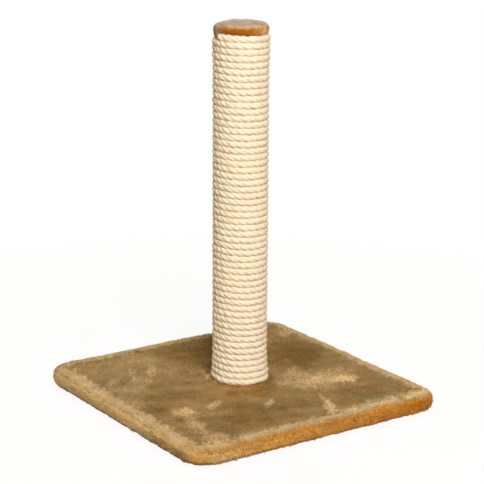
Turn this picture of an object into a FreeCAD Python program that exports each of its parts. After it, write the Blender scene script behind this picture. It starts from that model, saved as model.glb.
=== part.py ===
import FreeCAD, Part
import math
import os

# Cat scratching post: a plush-covered square base, a rope-wound cardboard post and a plush cap.
# Millimetres, +Z up, origin at the centre of the base's underside, -Y towards the front edge.

Vec = FreeCAD.Vector
axis_foot = Vec(0, 0, 0)
up = Vec(0, 0, 1)
full_turn = 360.0

# Base: a chipboard square in a plush cover whose edges turn in under the board
base_side = 400.0            # over the plush
base_corner_radius = 34.0    # over the plush, seen from above
board_thickness = 18.0
plush_top = 4.1              # cover over the board
plush_side = 5.0             # cover round the board's edges
plush_crushed = 2.0          # cover under the post's foot
cover_slack = 0.2            # between cover and board, all round
top_edge_radius = 9.0
bottom_edge_radius = 5.0
hem_thickness = 1.6
hem_width = 36.0             # how far the cover turns in under the board
hem_corner_radius = 12.0

# Staples: flat wire, driven in flush
wire_width = 1.2
wire_thickness = 0.6
crown_length = 10.0
crown_recess = 0.1           # crown below the face of the tube or the skirt
hem_staples_per_side = 5
hem_staple_leg = 8.0
hem_staple_recess = 0.4      # crown below the hem's face
hem_staple_margin = 20.0     # from the hem's inner edge to the crowns
plug_staples_per_end = 4
plug_staple_leg = 12.0
cap_staples = 6
cap_staple_leg = 4.5
cap_staple_margin = 2.0      # from the skirt's lower edge to the crowns
rope_staples_per_end = 2
rope_staple_leg = 15.0
rope_staple_recess = 1.0     # crown below the rope's crest
rope_staple_spacing = 15.0   # between crown centres, along the rope

# Post: a cardboard tube with a wooden plug flush in each end
tube_diameter = 58.0
tube_wall = 4.0
tube_length = 490.0
plug_thickness = 20.0
plug_fit = 0.1               # all round, in the tube

# Fastening: a furniture bolt from below, through the base, into a pronged nut on the lower plug
bolt_diameter = 8.0
bolt_head_diameter = 16.0
bolt_head_height = 4.4
bolt_head_rounding = 1.6
bolt_head_recess = 3.0       # head above the board's underside
bolt_projection = 5.9        # past the nut's flange
bolt_tip_chamfer = 1.0
socket_across_flats = 5.0
socket_depth = 3.0
bolt_hole_fit = 0.5          # all round the bolt, in the washer, board and cover
washer_diameter = 24.0
washer_thickness = 1.6
counterbore_fit = 3.0        # all round the washer
thread_fit = 0.05            # all round the bolt, in the nut
nut_barrel_wall = 1.15
nut_barrel_length = 11.0
nut_barrel_fit = 0.2         # all round, in the plug
nut_flange_width = 5.8       # round the barrel
nut_flange_thickness = 1.5
nut_prongs = 4
nut_prong_length = 6.0
nut_prong_width = 3.0

# Rope: sisal, wound in one layer, rising clockwise seen from above
rope_diameter = 8.25
turn_gap = 0.49              # between neighbouring turns
rope_tube_gap = 0.15         # between rope and tube, or rope and skirt
rope_start_azimuth = 44.0    # degrees, lower end, at the back
rope_end_azimuth = 196.0     # degrees, upper end, at the left, before its straight end
foot_gap = 0.3               # between the first turn and the crushed plush
foot_flare = 2.8             # how far the lowest turn stands out
foot_flare_height = 46.0
foot_room = 0.5              # round the lowest turn, in the crushed plush
loops_per_stretch = 24       # most turns in one solid; the stretches meet face to face
spans_per_turn = 4           # biarcs
points_per_arc = 32          # for measuring the gap between turns
tangent_step = 1e-4          # turns

# Cap: plush pulled over the tube's end, its thin skirt caught under the top turns
cap_thickness = 8.0          # crown of the plush above the tube
cap_dome = 2.0               # crown above the top of the rim
cap_rim_radius = 6.0
cap_band_width = 8.0         # how far the band stands out from the tube
cap_band_height = 11.4       # from the crown to the band's lower edge
cap_band_rounding = 2.0
cap_rope_gap = 0.4           # least, between the band and the last turn
skirt_thickness = 0.8
skirt_length = 28.0
skirt_fit = 0.05             # between skirt and tube

# Levels
board_bottom = hem_thickness
board_top = board_bottom + board_thickness
base_top = board_top + plush_top
post_foot = board_top + plush_crushed
lower_plug_top = post_foot + plug_thickness
tube_top = post_foot + tube_length
upper_plug_bottom = tube_top - plug_thickness
cap_crown = tube_top + cap_thickness
band_bottom = cap_crown - cap_band_height
skirt_bottom = band_bottom - skirt_length
head_bottom = board_bottom + bolt_head_recess
washer_bottom = head_bottom + bolt_head_height
counterbore_top = washer_bottom + washer_thickness
nut_top = lower_plug_top + nut_flange_thickness
bolt_tip = nut_top + bolt_projection

# Widths and radii
board_side = base_side - 2 * plush_side
board_corner_radius = base_corner_radius - plush_side
hem_opening_side = board_side - 2 * hem_width
tube_radius = tube_diameter / 2
bore_radius = tube_radius - tube_wall
plug_radius = bore_radius - plug_fit
bolt_radius = bolt_diameter / 2
bolt_hole_radius = bolt_radius + bolt_hole_fit
counterbore_radius = washer_diameter / 2 + counterbore_fit
nut_bore_radius = bolt_radius + thread_fit
nut_barrel_radius = nut_bore_radius + nut_barrel_wall
nut_flange_radius = nut_barrel_radius + nut_flange_width
skirt_inner_radius = tube_radius + skirt_fit
skirt_outer_radius = skirt_inner_radius + skirt_thickness
band_radius = tube_radius + cap_band_width
rope_radius = rope_diameter / 2
winding_radius = tube_radius + rope_tube_gap + rope_radius
foot_recess_radius = winding_radius + rope_radius + foot_flare + foot_room

# Winding
rope_pitch = rope_diameter + turn_gap
rope_start_level = post_foot + foot_gap + rope_radius
rope_highest_level = band_bottom - cap_rope_gap - rope_radius
ride_level = skirt_bottom - rope_radius - rope_pitch
part_turn = (rope_start_azimuth - rope_end_azimuth) % full_turn / full_turn
whole_turns = math.floor((rope_highest_level - rope_start_level) / rope_pitch - part_turn)
rope_turns = whole_turns + part_turn


def cylinder(radius, bottom, top):
    """Upright cylinder on the post's axis, between two levels."""
    return Part.makeCylinder(radius, top - bottom, Vec(0, 0, bottom), up)


def rounded_square(side, corner_radius, bottom, top):
    """Upright prism on a square with rounded corners, between two levels."""
    half = side / 2
    straight = half - corner_radius
    diagonal = straight + corner_radius / math.sqrt(2)
    side_foot = Vec(half, -straight, bottom)
    side_head = Vec(half, straight, bottom)
    corner_middle = Vec(diagonal, diagonal, bottom)
    next_side_foot = Vec(straight, half, bottom)
    edges = []
    for quarter in range(4):
        turn = FreeCAD.Rotation(up, quarter * full_turn / 4)
        a, b, c, d = [turn.multVec(p) for p in (side_foot, side_head, corner_middle, next_side_foot)]
        edges.append(Part.LineSegment(a, b).toShape())
        edges.append(Part.Arc(b, c, d).toShape())
    return Part.Face(Part.Wire(edges)).extrude(Vec(0, 0, top - bottom))


def edges_at_level(solid, level):
    """Edges of a solid that lie in one horizontal plane."""
    tolerance = 1e-6
    return [edge for edge in solid.Edges
            if abs(edge.BoundBox.ZMin - level) < tolerance and abs(edge.BoundBox.ZMax - level) < tolerance]


def line(start, end):
    """Straight edge between two (radius, level) points of a profile."""
    return Part.LineSegment(Vec(start[0], 0, start[1]), Vec(end[0], 0, end[1])).toShape()


def arc(start, middle, end):
    """Arc edge through three (radius, level) points of a profile."""
    return Part.Arc(*[Vec(radius, 0, level) for radius, level in (start, middle, end)]).toShape()


def on_circle(centre, radius, degrees):
    """(radius, level) point of a profile on a circle, with the angle measured from outwards to up."""
    angle = math.radians(degrees)
    return centre[0] + radius * math.cos(angle), centre[1] + radius * math.sin(angle)


def revolve(edges):
    """Solid of revolution about the post's axis from the edges of a closed profile."""
    return Part.Face(Part.Wire(edges)).revolve(axis_foot, up, full_turn)


def staple(leg_length):
    """Staple with its crown along X, its outer face at level 0 and its legs pointing up."""
    left = -crown_length / 2
    right = crown_length / 2 - wire_thickness
    crown = Part.makeBox(crown_length, wire_width, wire_thickness, Vec(left, -wire_width / 2, 0))
    legs = [Part.makeBox(wire_thickness, wire_width, leg_length, Vec(x, -wire_width / 2, 0))
            for x in (left, right)]
    return crown.fuse(legs).removeSplitter()


def staple_into_post(leg_length, crown_radius, level, azimuth, crown_upright):
    """Staple driven towards the post's axis, its crown's outer face this far from the axis."""
    piece = staple(leg_length)
    if not crown_upright:
        piece.rotate(axis_foot, up, full_turn / 4)
    piece.rotate(axis_foot, Vec(0, 1, 0), -full_turn / 4)
    piece.translate(Vec(crown_radius, 0, level))
    piece.rotate(axis_foot, up, azimuth)
    return piece


def make_cover_staples():
    """Staples along the hem's four sides, and one across each corner."""
    row = hem_opening_side / 2 + hem_staple_margin
    corner = hem_opening_side / 2 + hem_staple_margin / math.sqrt(2)
    spacing = hem_opening_side / hem_staples_per_side
    first = (spacing - hem_opening_side) / 2
    staples = []
    for quarter in range(4):
        side = []
        for number in range(hem_staples_per_side):
            piece = staple(hem_staple_leg)
            piece.translate(Vec(first + number * spacing, -row, hem_staple_recess))
            side.append(piece)
        piece = staple(hem_staple_leg)
        piece.rotate(axis_foot, up, full_turn / 8)
        piece.translate(Vec(corner, -corner, hem_staple_recess))
        side.append(piece)
        for piece in side:
            piece.rotate(axis_foot, up, quarter * full_turn / 4)
        staples += side
    return staples


def make_plug_staples():
    """Staples through the tube's wall into the plugs, their crowns upright."""
    staples = []
    for level in (post_foot + plug_thickness / 2, tube_top - plug_thickness / 2):
        for number in range(plug_staples_per_end):
            azimuth = number * full_turn / plug_staples_per_end
            staples.append(staple_into_post(plug_staple_leg, tube_radius - crown_recess, level, azimuth, True))
    return staples


def make_cap_staples():
    """Staples that hold the cap's skirt to the tube, their crowns upright near its lower edge."""
    level = skirt_bottom + cap_staple_margin + crown_length / 2
    crown_radius = skirt_outer_radius - crown_recess
    spacing = full_turn / cap_staples
    return [staple_into_post(cap_staple_leg, crown_radius, level, (number + 0.5) * spacing, True)
            for number in range(cap_staples)]


def make_rope_staples():
    """Staples through the rope's first and last stretch into the post, their crowns along the rope."""
    spacing = rope_staple_spacing / (2 * math.pi * winding_radius)
    from_end = [(number + 0.5) * spacing for number in range(rope_staples_per_end)]
    staples = []
    for turned in from_end + [rope_turns - turns for turns in from_end]:
        centre = winding_point(turned)
        crown_radius = math.hypot(centre.x, centre.y) + rope_radius - rope_staple_recess
        azimuth = math.degrees(math.atan2(centre.y, centre.x))
        staples.append(staple_into_post(rope_staple_leg, crown_radius, centre.z, azimuth, False))
    return staples


def make_base_board(staples):
    """Chipboard square with a hole for the bolt, counterbored from below, and the staples' holes."""
    board = rounded_square(board_side, board_corner_radius, board_bottom, board_top)
    hole = cylinder(bolt_hole_radius, board_bottom, board_top)
    counterbore = cylinder(counterbore_radius, board_bottom, counterbore_top)
    return board.cut([hole, counterbore] + staples)


def make_base_cover(staples):
    """Plush cover round the board, open below inside the hem and crushed where the post stands."""
    cover = rounded_square(base_side, base_corner_radius, 0, base_top)
    cover = cover.makeFillet(top_edge_radius, edges_at_level(cover, base_top))
    cover = cover.makeFillet(bottom_edge_radius, edges_at_level(cover, 0))
    board_room = rounded_square(board_side + 2 * cover_slack, board_corner_radius + cover_slack,
                                board_bottom, board_top)
    hem_opening = rounded_square(hem_opening_side, hem_corner_radius, 0, board_bottom)
    post_room = cylinder(foot_recess_radius, post_foot, base_top)
    hole = cylinder(bolt_hole_radius, board_top, post_foot)
    return cover.cut([board_room, hem_opening, post_room, hole] + staples)


def make_post_tube(staples):
    """Cardboard tube, with the staples' holes."""
    tube = cylinder(tube_radius, post_foot, tube_top)
    return tube.cut([cylinder(bore_radius, post_foot, tube_top)] + staples)


def make_lower_plug(nut, staples):
    """Wooden disc in the tube's foot, bored for the nut's barrel and pierced by its prongs."""
    plug = cylinder(plug_radius, post_foot, lower_plug_top)
    bore = cylinder(nut_barrel_radius + nut_barrel_fit, post_foot, lower_plug_top)
    return plug.cut([bore, nut] + staples)


def make_upper_plug(staples):
    """Wooden disc in the tube's head."""
    return cylinder(plug_radius, upper_plug_bottom, tube_top).cut(staples)


def make_pronged_nut():
    """Barrel with a flange on the plug's upper face and pointed prongs driven into the wood."""
    nut = cylinder(nut_barrel_radius, lower_plug_top - nut_barrel_length, lower_plug_top)
    nut = nut.fuse(cylinder(nut_flange_radius, lower_plug_top, nut_top))
    inner = nut_flange_radius - nut_flange_thickness - nut_prong_width ** 2 / (8 * nut_flange_radius)
    half_width = nut_prong_width / 2
    corners = [Vec(inner, -half_width, lower_plug_top), Vec(inner, half_width, lower_plug_top),
               Vec(inner, 0, lower_plug_top - nut_prong_length)]
    outline = Part.makePolygon(corners + corners[:1])
    for number in range(nut_prongs):
        prong = Part.Face(outline).extrude(Vec(nut_flange_thickness, 0, 0))
        prong.rotate(axis_foot, up, number * full_turn / nut_prongs)
        nut = nut.fuse(prong)
    bore = cylinder(nut_bore_radius, lower_plug_top - nut_barrel_length, nut_top)
    return nut.cut(bore).removeSplitter()


def make_post_bolt():
    """Furniture bolt, head down, with a rounded head, a hexagon socket and a chamfered tip."""
    head_radius = bolt_head_diameter / 2
    head = cylinder(head_radius, head_bottom, washer_bottom)
    head = head.makeFillet(bolt_head_rounding, edges_at_level(head, head_bottom))
    shank = cylinder(bolt_radius, washer_bottom, bolt_tip)
    shank = shank.makeChamfer(bolt_tip_chamfer, edges_at_level(shank, bolt_tip))
    corner_radius = socket_across_flats / math.sqrt(3)
    corners = [Vec(corner_radius, 0, head_bottom)]
    for number in range(6):
        corners.append(FreeCAD.Rotation(up, full_turn / 6).multVec(corners[number]))
    socket = Part.Face(Part.makePolygon(corners)).extrude(Vec(0, 0, socket_depth))
    return head.fuse(shank).cut(socket).removeSplitter()


def make_bolt_washer():
    """Flat washer between the bolt's head and the counterbore's floor."""
    washer = cylinder(washer_diameter / 2, washer_bottom, counterbore_top)
    return washer.cut(cylinder(bolt_hole_radius, washer_bottom, counterbore_top))


def make_cap_cover(staples):
    """Plush cap: a shallow dome that runs into the rim's rounding, a short band, and the thin skirt."""
    rim_centre = (band_radius - cap_rim_radius, cap_crown - cap_dome - cap_rim_radius)
    rise = cap_dome + cap_rim_radius
    dome_radius = (rim_centre[0] ** 2 + rise ** 2 - cap_rim_radius ** 2) / (2 * cap_dome)
    dome_centre = (0, cap_crown - dome_radius)
    dome_edge = math.degrees(math.atan2(rim_centre[1] - dome_centre[1], rim_centre[0]))
    level_out, straight_up = 0, full_turn / 4
    edge_centre = (band_radius - cap_band_rounding, band_bottom + cap_band_rounding)
    crown = (0, cap_crown)
    rim_start = on_circle(rim_centre, cap_rim_radius, dome_edge)
    band_edge = on_circle(edge_centre, cap_band_rounding, -straight_up)
    skirt_head = (skirt_outer_radius, band_bottom)
    skirt_foot = (skirt_outer_radius, skirt_bottom)
    skirt_foot_inside = (skirt_inner_radius, skirt_bottom)
    seat_edge = (skirt_inner_radius, tube_top)
    seat_middle = (0, tube_top)
    profile = [
        arc(crown, on_circle(dome_centre, dome_radius, (straight_up + dome_edge) / 2), rim_start),
        arc(rim_start, on_circle(rim_centre, cap_rim_radius, dome_edge / 2),
            on_circle(rim_centre, cap_rim_radius, level_out)),
        line(on_circle(rim_centre, cap_rim_radius, level_out),
             on_circle(edge_centre, cap_band_rounding, level_out)),
        arc(on_circle(edge_centre, cap_band_rounding, level_out),
            on_circle(edge_centre, cap_band_rounding, -straight_up / 2), band_edge),
        line(band_edge, skirt_head),
        line(skirt_head, skirt_foot),
        line(skirt_foot, skirt_foot_inside),
        line(skirt_foot_inside, seat_edge),
        line(seat_edge, seat_middle),
        line(seat_middle, crown),
    ]
    return revolve(profile).cut(staples)


def winding_point(turned):
    """Point on the rope's centre line this many turns from its lower end.

    The level rises steadily. The radius is the tube's with the rope on it, plus a flare at the foot
    that fades as a square, plus the skirt's thickness after a smooth step of one pitch.
    """
    level = rope_start_level + rope_pitch * turned
    flare = foot_flare * max(0.0, 1 - (level - rope_start_level) / foot_flare_height) ** 2
    step = min(1.0, max(0.0, (level - ride_level) / rope_pitch))
    ride = (skirt_outer_radius - tube_radius) * step * step * (3 - 2 * step)
    radius = winding_radius + flare + ride
    angle = math.radians(rope_start_azimuth - full_turn * turned)
    return Vec(radius * math.cos(angle), radius * math.sin(angle), level)


def winding_direction(turned):
    """Unit tangent of the rope's centre line."""
    return (winding_point(turned + tangent_step) - winding_point(turned - tangent_step)).normalize()


def tangent_arc(start, corner, end):
    """Arc from start to end whose tangents there meet at the corner."""
    chord = end - start
    middle = (start + end) * 0.5
    cosine = (corner - start).normalize().dot(chord) / chord.Length
    rise = chord.Length / 2 * math.tan(math.acos(min(1.0, cosine)) / 2)
    return Part.Arc(start, middle + (corner - middle).normalize() * rise, end).toShape()


def biarc(start_turned, end_turned):
    """Two arcs that join two points of the winding and keep its direction at both."""
    start, end = winding_point(start_turned), winding_point(end_turned)
    start_way, end_way = winding_direction(start_turned), winding_direction(end_turned)
    chord = end - start
    ways = start_way + end_way
    bend = 2 * (1 - start_way.dot(end_way))
    along = chord.dot(ways)
    reach = (math.sqrt(along * along + bend * chord.dot(chord)) - along) / bend
    start_corner = start + start_way * reach
    end_corner = end - end_way * reach
    joint = (start_corner + end_corner) * 0.5
    return [tangent_arc(start, start_corner, joint), tangent_arc(joint, end_corner, end)]


def least_turn_gap(arcs):
    """Least clear gap between neighbouring turns, measured on points along the centre line."""
    points = [point for edge in arcs for point in edge.discretize(points_per_arc + 1)[:-1]]
    points_per_turn = round(len(points) / rope_turns)
    window = points_per_arc
    least = rope_pitch
    for number, point in enumerate(points):
        nearest = number + points_per_turn
        for other in points[nearest - window:nearest + window]:
            least = min(least, point.distanceToPoint(other))
    return least - rope_diameter


def make_sisal_rope(staples):
    """Rope wound round the post, with a straight end of one diameter at its foot and its head.

    It is swept in equal stretches, each an unbroken tube, that meet face to face.
    """
    stretches = math.ceil(rope_turns / loops_per_stretch)
    spans_per_stretch = math.ceil(rope_turns * spans_per_turn / stretches)
    span = rope_turns / (stretches * spans_per_stretch)
    foot, head = winding_point(0), winding_point(rope_turns)
    foot_end = foot - winding_direction(0) * rope_diameter
    head_end = head + winding_direction(rope_turns) * rope_diameter
    arcs = []
    tubes = []
    for stretch in range(stretches):
        first_span = stretch * spans_per_stretch
        last_span = first_span + spans_per_stretch
        path = []
        for number in range(first_span, last_span):
            path += biarc(number * span, (number + 1) * span)
        arcs += path
        start, way = winding_point(first_span * span), winding_direction(first_span * span)
        if stretch == 0:
            path = [Part.LineSegment(foot_end, foot).toShape()] + path
            start = foot_end
        if stretch == stretches - 1:
            path = path + [Part.LineSegment(head, head_end).toShape()]
        section = Part.Wire(Part.makeCircle(rope_radius, start, way))
        wire = Part.Wire(path)
        tube = wire.makePipeShell([section], True, False)
        swept = math.pi * rope_radius ** 2 * wire.Length
        print(f"rope stretch {stretch + 1}: {wire.Length:.0f} mm, volume {tube.Volume / swept:.5f} of swept")
        tubes.append(tube)
    print(f"rope: {rope_turns:.2f} turns, least gap between turns {least_turn_gap(arcs):.3f} mm")
    return Part.makeCompound([tube.cut(staples) for tube in tubes])


def make_pieces():
    """Every piece of the post by its node's name."""
    cover_staples = make_cover_staples()
    plug_staples = make_plug_staples()
    cap_staple_row = make_cap_staples()
    rope_staples = make_rope_staples()
    post_staples = plug_staples + cap_staple_row + rope_staples
    nut = make_pronged_nut()
    return {
        "base_board": make_base_board(cover_staples),
        "base_cover": make_base_cover(cover_staples),
        "cover_staples": Part.makeCompound(cover_staples),
        "post_tube": make_post_tube(post_staples),
        "lower_plug": make_lower_plug(nut, plug_staples + rope_staples),
        "upper_plug": make_upper_plug(plug_staples + rope_staples),
        "plug_staples": Part.makeCompound(plug_staples),
        "pronged_nut": nut,
        "post_bolt": make_post_bolt(),
        "bolt_washer": make_bolt_washer(),
        "sisal_rope": make_sisal_rope(rope_staples),
        "rope_staples": Part.makeCompound(rope_staples),
        "cap_cover": make_cap_cover(cap_staple_row + rope_staples),
        "cap_staples": Part.makeCompound(cap_staple_row),
    }


os.makedirs("parts", exist_ok=True)
for name, piece in make_pieces().items():
    piece.exportStep(f"parts/{name}.step")
    print(f"{name}: {len(piece.Solids)} solids, {piece.Volume / 1000:.2f} cm3, valid {piece.isValid()}")
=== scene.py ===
import math

import bpy
import numpy as np
from mathutils import Matrix


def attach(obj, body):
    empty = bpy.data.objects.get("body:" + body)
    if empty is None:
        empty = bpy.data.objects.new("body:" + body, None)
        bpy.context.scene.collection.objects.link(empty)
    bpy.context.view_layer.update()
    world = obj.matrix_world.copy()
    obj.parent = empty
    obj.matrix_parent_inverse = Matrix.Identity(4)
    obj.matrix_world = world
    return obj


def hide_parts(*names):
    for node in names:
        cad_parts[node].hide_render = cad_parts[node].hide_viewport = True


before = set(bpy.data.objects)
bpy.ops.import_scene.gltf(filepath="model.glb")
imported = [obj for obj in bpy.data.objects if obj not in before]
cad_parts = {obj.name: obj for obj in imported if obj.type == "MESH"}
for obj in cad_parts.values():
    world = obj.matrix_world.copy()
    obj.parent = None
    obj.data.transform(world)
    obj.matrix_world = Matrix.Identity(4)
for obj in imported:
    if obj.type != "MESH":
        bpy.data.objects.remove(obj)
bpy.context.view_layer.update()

# Scratching post. Lengths are in millimetres until makePiece puts them into metres.
millimetre = 0.001
fullTurn = 2 * math.pi


def tone(red, green, blue):
    # A colour as the screen shows it, 0 to 255, turned into the linear values that shaders take
    shown = np.array((red, green, blue)) / 255
    linear = np.where(shown <= 0.04045, shown / 12.92, ((shown + 0.055) / 1.055) ** 2.4)
    return tuple(float(part) for part in linear)


def smoothStep(value):
    # 3v2 - 2v3 between 0 and 1, level outside
    value = np.clip(value, 0, 1)
    return value * value * (3 - 2 * value)


def unit(vectors):
    return vectors / np.linalg.norm(vectors, axis=-1, keepdims=True)


def ripple(place, wavelength, seed, waves=26):
    # Sum of plane waves of random way and phase, with lengths near the one given: mean 0, mostly -1 to 1
    chance = np.random.default_rng(seed)
    place = np.asarray(place, float).reshape(len(place), -1)
    ways = unit(chance.normal(size=(waves, place.shape[1])))
    lengths = wavelength * chance.uniform(0.6, 1.6, (waves, 1))
    phases = chance.uniform(0, fullTurn, waves)
    return np.cos(place @ (fullTurn * ways / lengths).T + phases).sum(axis=1) * 0.5 * math.sqrt(2 / waves)


class Wire:
    # A node's output that takes part in Python arithmetic: each operation adds one Math node
    def __init__(self, paint, socket):
        self.paint = paint
        self.socket = socket

    def maths(self, operation, first, second):
        return self.paint.node("ShaderNodeMath", {"operation": operation}, {0: first, 1: second})

    def __add__(self, other):
        return self.maths("ADD", self, other)

    def __radd__(self, other):
        return self.maths("ADD", other, self)

    def __sub__(self, other):
        return self.maths("SUBTRACT", self, other)

    def __rsub__(self, other):
        return self.maths("SUBTRACT", other, self)

    def __mul__(self, other):
        return self.maths("MULTIPLY", self, other)

    def __rmul__(self, other):
        return self.maths("MULTIPLY", other, self)

    def __truediv__(self, other):
        return self.maths("DIVIDE", self, other)

    def __rtruediv__(self, other):
        return self.maths("DIVIDE", other, self)


class Paint:
    # A material, or the world, with one method that makes any node
    def __init__(self, name, sockets=None, tree=None):
        if tree is None:
            self.material = bpy.data.materials.new(name)
            self.material.use_nodes = True
            tree = self.material.node_tree
        self.tree = tree
        self.shader = next((made for made in tree.nodes if made.type == "BSDF_PRINCIPLED"), None)
        for socketName, value in (sockets or {}).items():
            self.shader.inputs[socketName].default_value = value

    def feed(self, socket, value):
        if isinstance(value, Wire):
            self.tree.links.new(value.socket, socket)
        elif socket.type == "RGBA" and len(value) == 3:
            socket.default_value = (*value, 1)
        else:
            socket.default_value = value

    def finish(self, **values):
        # Feeds the shader's own sockets, named with no space in them
        for key, value in values.items():
            socket = next(each for each in self.shader.inputs if each.name.replace(" ", "") == key)
            self.feed(socket, value)
        return self

    def node(self, kind, settings=None, values=None, output=0):
        made = self.tree.nodes.new(kind)
        for key, value in (settings or {}).items():
            if key == "stops":
                ramp = made.color_ramp
                for element, (place, colour) in zip(ramp.elements, (value[0], value[-1])):
                    element.position = place
                    element.color = (*colour, 1)
                for place, colour in value[1:-1]:
                    ramp.elements.new(place).color = (*colour, 1)
            else:
                setattr(made, key, value)
        for key, value in (values or {}).items():
            self.feed(made.inputs[key], value)
        return Wire(self, made.outputs[output])

    def objectPlace(self):
        return self.node("ShaderNodeTexCoord", output="Object")

    def attribute(self, name, output="Fac"):
        return self.node("ShaderNodeAttribute", {"attribute_name": name}, output=output)

    def stretched(self, vector, factors):
        return self.node("ShaderNodeVectorMath", {"operation": "MULTIPLY"}, {0: vector, 1: factors})

    def noise(self, vector, scale, detail=2.0, roughness=0.5):
        values = {"Vector": vector, "Scale": scale, "Detail": detail, "Roughness": roughness}
        return self.node("ShaderNodeTexNoise", {}, values)

    def mixColour(self, factor, first, second):
        # Sockets 6 and 7 and output 2 are the colour ones of this node
        return self.node("ShaderNodeMix", {"data_type": "RGBA"}, {0: factor, 6: first, 7: second}, 2)

    def ramp(self, factor, stops):
        return self.node("ShaderNodeValToRGB", {"stops": stops}, {"Fac": factor})

    def bump(self, height, strength, distance):
        return self.node("ShaderNodeBump", {}, {"Strength": strength, "Distance": distance, "Height": height})


def ringFaces(rows, columns, closedRows=False):
    # Quads of a grid whose columns run round: each joins a point, the next in its ring, and the two above
    lastRow = rows if closedRows else rows - 1
    row, column = np.meshgrid(np.arange(lastRow), np.arange(columns), indexing="ij")
    after, here, above = (column + 1) % columns, row * columns, (row + 1) % rows * columns
    quads = np.stack((here + column, here + after, above + after, above + column), -1)
    return quads.reshape(-1, 4)


def fanFaces(ring, pole, outward):
    # Triangles from a ring of point numbers to its pole
    after = np.roll(ring, -1)
    order = (ring, after) if outward else (after, ring)
    return np.stack((*order, np.full(len(ring), pole)), axis=1)


def tubeFaces(rows, columns):
    # A tube whose ends close on the two points that follow its own
    count = rows * columns
    first = fanFaces(np.arange(columns), count, False)
    last = fanFaces(np.arange(count - columns, count), count + 1, True)
    return [ringFaces(rows, columns), first, last]


def repeated(groups, count, perPiece):
    # The faces of one small piece, again for each of count pieces
    shift = (np.arange(count) * perPiece)[:, None, None]
    return [(faces[None] + shift).reshape(-1, faces.shape[1]) for faces in groups]


def enclosed(points, groups):
    # Signed volume: the sum over triangles of a . (b x c) / 6, positive where faces point outwards
    total = 0.0
    for faces in groups:
        for corner in range(1, faces.shape[1] - 1):
            a, b, c = points[faces[:, 0]], points[faces[:, corner]], points[faces[:, corner + 1]]
            total += float(np.einsum("ij,ij->", a, np.cross(b, c))) / 6
    return total


def makePiece(name, points, groups, paint, attributes=None, standsFor=None):
    if enclosed(points, groups) < 0:
        groups = [faces[:, ::-1] for faces in groups]
    corners = np.concatenate([faces.ravel() for faces in groups]).astype(np.int32)
    sizes = np.concatenate([np.full(len(faces), faces.shape[1]) for faces in groups])
    starts = np.concatenate(([0], np.cumsum(sizes)[:-1])).astype(np.int32)
    mesh = bpy.data.meshes.new(name)
    mesh.vertices.add(len(points))
    mesh.vertices.foreach_set("co", (points * millimetre).astype(np.float32).ravel())
    mesh.loops.add(len(corners))
    mesh.loops.foreach_set("vertex_index", corners)
    mesh.polygons.add(len(sizes))
    mesh.polygons.foreach_set("loop_start", starts)
    mesh.update(calc_edges=True)
    mesh.polygons.foreach_set("use_smooth", np.ones(len(sizes), bool))
    for key, values in (attributes or {}).items():
        values = np.asarray(values, np.float32)
        kind, field = ("FLOAT_VECTOR", "vector") if values.ndim == 2 else ("FLOAT", "value")
        mesh.attributes.new(key, kind, "POINT").data.foreach_set(field, values.ravel())
    mesh.validate()
    mesh.materials.append(paint.material)
    piece = bpy.data.objects.new(name, mesh)
    bpy.context.scene.collection.objects.link(piece)
    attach(piece, "root")
    if standsFor:
        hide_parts(standsFor)
    print(f"{name}: {int((sizes - 2).sum())} triangles")


# The rope winds up the post in one layer: three strands, and the hairs that stand off them
rope = {
    "diameter": 8.25,
    "pitch": 8.74,
    "turns": 54.57778,
    "footLevel": 26.025,
    "footAzimuth": 44.0,        # degrees
    "headAzimuth": 196.0,       # before the straight end
    "radius": 33.275,           # of the winding
    "flare": 2.8,               # how far the lowest turn stands out
    "flareHeight": 46.0,
    "rideLevel": 467.335,       # where the rope climbs onto the cap's skirt
    "ride": 0.85,
    "strands": 3,
    "lay": 29.0,
    "strandRadius": 2.75,
    "taller": 1.21,             # the turns press on each other, so each is taller than it is deep,
    "proud": 1.16,              # and its outer side bulges
    "ringSpacing": 2.3,
    "sides": 12,
    "unevenness": 0.11,         # of a strand's thickness
    "offsetUnevenness": 0.08,   # of how far it lies from the rope's middle
    "wander": 0.55,             # how far the lay runs ahead or behind
    "slackUp": 0.20,            # how far the turns stray up and down,
    "slackOut": 0.16,           # and out and in
    "grooveFrom": 0.64,         # a strand is painted in groove shade up to this share of the rope's radius,
    "grooveWidth": 0.3,         # and is clear of that shade this much further out
    "fibres": 7200,
    "endFibres": 150,           # of these, at each end
    "footFibres": 1300,         # and at the lowest turn
    "fibreReach": (3, 9),
    "fibreCurl": 0.10,          # of their reach
    "fibreThick": 0.10,
    "footFibreThick": 0.17,
    "paleStraw": (252, 241, 225),
    "straw": (245, 221, 187),
    # the colour of the painted shade in the grooves
    "darkStraw": (202, 172, 126),
}


def windingPoints(turned):
    # The level rises steadily while it turns clockwise. The radius is the tube's with the rope on it,
    # plus a flare that fades as a square, plus a smooth step of one pitch onto the skirt.
    level = rope["footLevel"] + rope["pitch"] * turned
    flare = rope["flare"] * np.clip(1 - (level - rope["footLevel"]) / rope["flareHeight"], 0, 1) ** 2
    radius = rope["radius"] + flare + rope["ride"] * smoothStep((level - rope["rideLevel"]) / rope["pitch"])
    angle = math.radians(rope["footAzimuth"]) - fullTurn * turned
    return np.stack((radius * np.cos(angle), radius * np.sin(angle), level), axis=1)


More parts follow.
